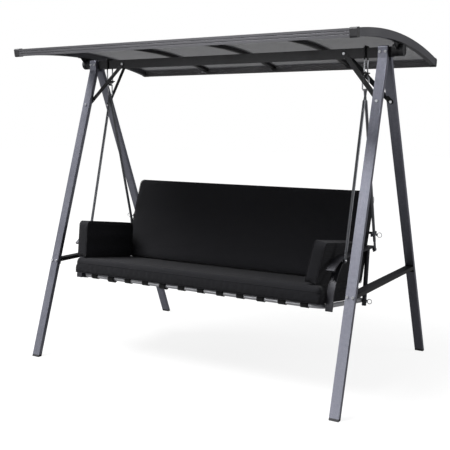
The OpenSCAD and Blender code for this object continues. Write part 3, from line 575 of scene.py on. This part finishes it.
def strap_set(name, body, node, space, run, tube_r, slacks):
    """All straps of one frame as one mesh of ribbons with real thickness."""
    sides = (-1, -0.5, 0, 0.5, 1)
    points, faces = [], []
    for i, slack in enumerate(slacks):
        middle = (i - (len(slacks) - 1) / 2) * STRAP_PITCH
        skew = RNG.uniform(-STRAP_SKEW, STRAP_SKEW)
        line = strap_line(run, tube_r, slack, RNG.uniform(0.001, 0.003))
        first = len(points)
        for along, up in line:
            shift = middle + skew * (along / run - 0.5)
            for side in sides:
                crown = STRAP_CROWN * (1 - side * side)
                points.append(space @ Vector((shift + side * STRAP_W / 2, along, up + crown)))
        for row in range(len(line) - 1):
            for k in range(len(sides) - 1):
                corner = first + len(sides) * row + k
                ahead = corner + len(sides)
                faces.append((corner, corner + 1, ahead + 1, ahead))
    mesh = bpy.data.meshes.new(name)
    mesh.from_pydata(points, [], faces)
    for face in mesh.polygons:
        face.use_smooth = True
    mesh.materials.append(MATERIALS["webbing"])
    straps = bpy.data.objects.new(name, mesh)
    SCENE.collection.objects.link(straps)
    thick = straps.modifiers.new("thickness", "SOLIDIFY")
    thick.thickness = STRAP_T
    thick.offset = 0
    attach(straps, body)
    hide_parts(node)


def make_straps():
    """The webbing of the seat and of the back."""
    seat_slacks = []
    for number in range(SEAT_STRAPS):
        usual = RNG.uniform(0.001, 0.004)
        seat_slacks.append(LOOSE_STRAPS.get(number, usual))
    strap_set("webbing_seat", "seat", "seat_straps", seat_space(), SEAT_RUN, SEAT_TUBE_R, seat_slacks)
    low_rail = Matrix.Translation(BACK_LOW_RAIL) @ turn_x(math.pi / 2)
    back_slacks = [BACK_SLACK] * BACK_STRAPS
    strap_set("webbing_back", "back", "back_straps", back_space() @ low_rail,
              BACK_RUN, BACK_TUBE_R, back_slacks)


# ---------------------------------------------------------------- cushions

TINY = 1e-9
LOW_CORNER_R = 0.006
SKIN_GAP = 0.0004
CORD_R = 0.0016
SMOOTH_LEVELS = 1

# Cloth simulation of the covers. A negative shrink lets the cloth grow past the form it is sewn to.
COVER_MASS = 0.35
COVER_PRESSURE = 4
COVER_SHRINK = -0.012
COVER_QUALITY = 4
COVER_FRAMES = 20

# How far each arm pad leans over, in degrees.
ARM_LEANS = {"left": -1, "right": 10}


def corner_rounded(point, half, axis, radius):
    """Rounds the corners seen along axis, the lower ones less, and keeps the panel edges crisp."""
    radius = radius if point.z > 0 else LOW_CORNER_R
    inner = point.copy()
    for a in range(3):
        if a != axis:
            inner[a] = max(-half[a] + radius, min(half[a] - radius, point[a]))
    out = point - inner
    if out.length < TINY:
        return point
    return inner + out * (max(abs(c) for c in out) / out.length)


def rounded(point, half, radius, low_radius):
    """A point of a box with half sizes half, moved onto the box with rounded edges."""
    radius = radius if point.z > 0 else low_radius
    inner = Vector([max(-h + radius, min(h - radius, c)) for c, h in zip(point, half)])
    out = point - inner
    return inner + out.normalized() * radius if out.length > TINY else point


def bowed(point, half, bow):
    """The sides pull in by bow in the middle, and the corners stay out."""
    share = [1 - (c / h) ** 2 for c, h in zip(point, half)]
    return Vector((
        point.x * (1 - bow / half.x * share[1]),
        point.y * (1 - bow / half.y * share[0]),
        point.z,
    ))


def cushion_shell(size, step, form, bow):
    """Closed shell of near-square quads in a rounded form: its points, faces and lattice places."""
    half = size / 2
    counts = [max(3, round(length / step)) for length in size]
    places, points, faces = {}, [], []

    def index(key):
        if key not in places:
            flat = Vector([half[a] * (2 * key[a] / counts[a] - 1) for a in range(3)])
            places[key] = len(points)
            points.append(bowed(form(flat, half), half, bow))
        return places[key]

    for axis in range(3):
        u, v = (axis + 1) % 3, (axis + 2) % 3
        for end in (0, counts[axis]):
            for i in range(counts[u]):
                for j in range(counts[v]):
                    ring = []
                    for du, dv in ((0, 0), (1, 0), (1, 1), (0, 1)):
                        key = [0, 0, 0]
                        key[axis], key[u], key[v] = end, i + du, j + dv
                        ring.append(index(tuple(key)))
                    faces.append(ring if end else ring[::-1])
    return points, faces, places, counts


def seam_rings(places, counts, axis, levels):
    """Lattice points that lie on the side faces at each seam level, in order round the cushion."""
    u, v = (axis + 1) % 3, (axis + 2) % 3
    nu, nv = counts[u], counts[v]
    round_trip = [(i, 0) for i in range(nu)] + [(nu, j) for j in range(nv)]
    round_trip += [(nu - i, nv) for i in range(nu)] + [(0, nv - j) for j in range(nv)]
    rings = []
    for level in levels:
        ring = []
        for i, j in round_trip:
            key = [0, 0, 0]
            key[axis], key[u], key[v] = level, i, j
            ring.append(places[tuple(key)])
        rings.append(ring)
    return rings


def inflate(obj, seams, cap):
    """Cloth simulation under pressure, held at the seams; no point moves further than cap."""
    start = [v.co.copy() for v in obj.data.vertices]
    held = obj.vertex_groups.new(name="seams")
    held.add([i for ring in seams for i in ring], 1.0, "REPLACE")
    cloth = obj.modifiers.new("cloth", "CLOTH")
    settings = cloth.settings
    settings.quality = COVER_QUALITY
    settings.mass = COVER_MASS
    settings.use_pressure = True
    settings.uniform_pressure_force = COVER_PRESSURE
    settings.effector_weights.gravity = 0
    settings.vertex_group_mass = "seams"
    settings.shrink_min = COVER_SHRINK
    cloth.collision_settings.use_collision = False
    for step in range(1, COVER_FRAMES + 1):
        SCENE.frame_set(step)
    swollen = obj.evaluated_get(bpy.context.evaluated_depsgraph_get())
    moved = [v.co.copy() for v in swollen.data.vertices]
    obj.modifiers.remove(cloth)
    SCENE.frame_set(1)
    for vertex, before, after in zip(obj.data.vertices, start, moved):
        way = after - before
        if way.length > TINY:
            vertex.co = before + way.normalized() * cap * math.tanh(way.length / cap)


def seam_cord(name, body, obj, ring):
    """Thin sewn cord lying in a seam."""
    curve = bpy.data.curves.new(name, "CURVE")
    curve.dimensions = "3D"
    curve.bevel_depth = CORD_R
    curve.bevel_resolution = 1
    line = curve.splines.new("POLY")
    line.points.add(len(ring) - 1)
    for point, i in zip(line.points, ring):
        point.co = (*obj.data.vertices[i].co, 1)
    line.use_cyclic_u = True
    cord = bpy.data.objects.new(name, curve)
    SCENE.collection.objects.link(cord)
    curve.materials.append(MATERIALS["cushion cloth"])
    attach(cord, body)


def cushion(name, body, node, space, axis, seam_shares, step, form, inset, cap):
    """
    A boxed cushion in the space its CAD solid holds, sewn at shares of its thickness along axis.

    The lattice has squares of side step, form rounds it, inset keeps it off its neighbours and
    no point swells by more than cap.
    """
    low, high = local_box(node, space)
    start = low + Vector((inset, inset, SKIN_GAP))
    size = high - Vector((inset,) * 3) - start
    middle = start + size / 2
    points, faces, places, counts = cushion_shell(size, step, form, inset)
    mesh = bpy.data.meshes.new(name)
    mesh.from_pydata([p + middle for p in points], [], faces)
    for face in mesh.polygons:
        face.use_smooth = True
    mesh.materials.append(MATERIALS["cushion cloth"])
    pad = bpy.data.objects.new(name, mesh)
    SCENE.collection.objects.link(pad)
    levels = [round(share * counts[axis]) for share in seam_shares]
    seams = seam_rings(places, counts, axis, levels)
    inflate(pad, seams, cap)
    for vertex in mesh.vertices:
        for a in range(3):
            vertex.co[a] = max(low[a] + SKIN_GAP, min(high[a] - SKIN_GAP, vertex.co[a]))
    mesh.transform(space)
    mesh.update()
    smooth = pad.modifiers.new("smooth", "SUBSURF")
    smooth.levels = SMOOTH_LEVELS
    smooth.render_levels = SMOOTH_LEVELS
    for number, ring in enumerate(seams, 1):
        seam_cord("%s_seam_%d" % (name, number), body, pad, ring)
    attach(pad, body)
    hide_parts(node)


def make_cushions():
    """The seat cushion, the back cushion and the two arm pads."""
    seat = seat_space()
    cushion("cushion_seat", "seat", "seat_cushion", seat,
            axis=2, seam_shares=(0, 0.68), step=0.010,
            form=partial(rounded, radius=0.022, low_radius=0.008), inset=0.002, cap=0.004)
    cushion("cushion_back", "back", "back_cushion", back_space(),
            axis=1, seam_shares=(0, 1), step=0.010,
            form=partial(corner_rounded, axis=1, radius=0.025), inset=0.004, cap=0.009)
    for side, lean in ARM_LEANS.items():
        leaning = seat @ Matrix.Rotation(math.radians(lean), 4, "Y")
        cushion("cushion_arm_" + side, "seat", "arm_pad_" + side, leaning,
                axis=0, seam_shares=(0, 1), step=0.007,
                form=partial(corner_rounded, axis=0, radius=0.024), inset=0.002, cap=0.006)


make_camera()
make_light()
make_floor()
MATERIALS = make_materials()
dress_frame(MATERIALS)
make_straps()
make_cushions()
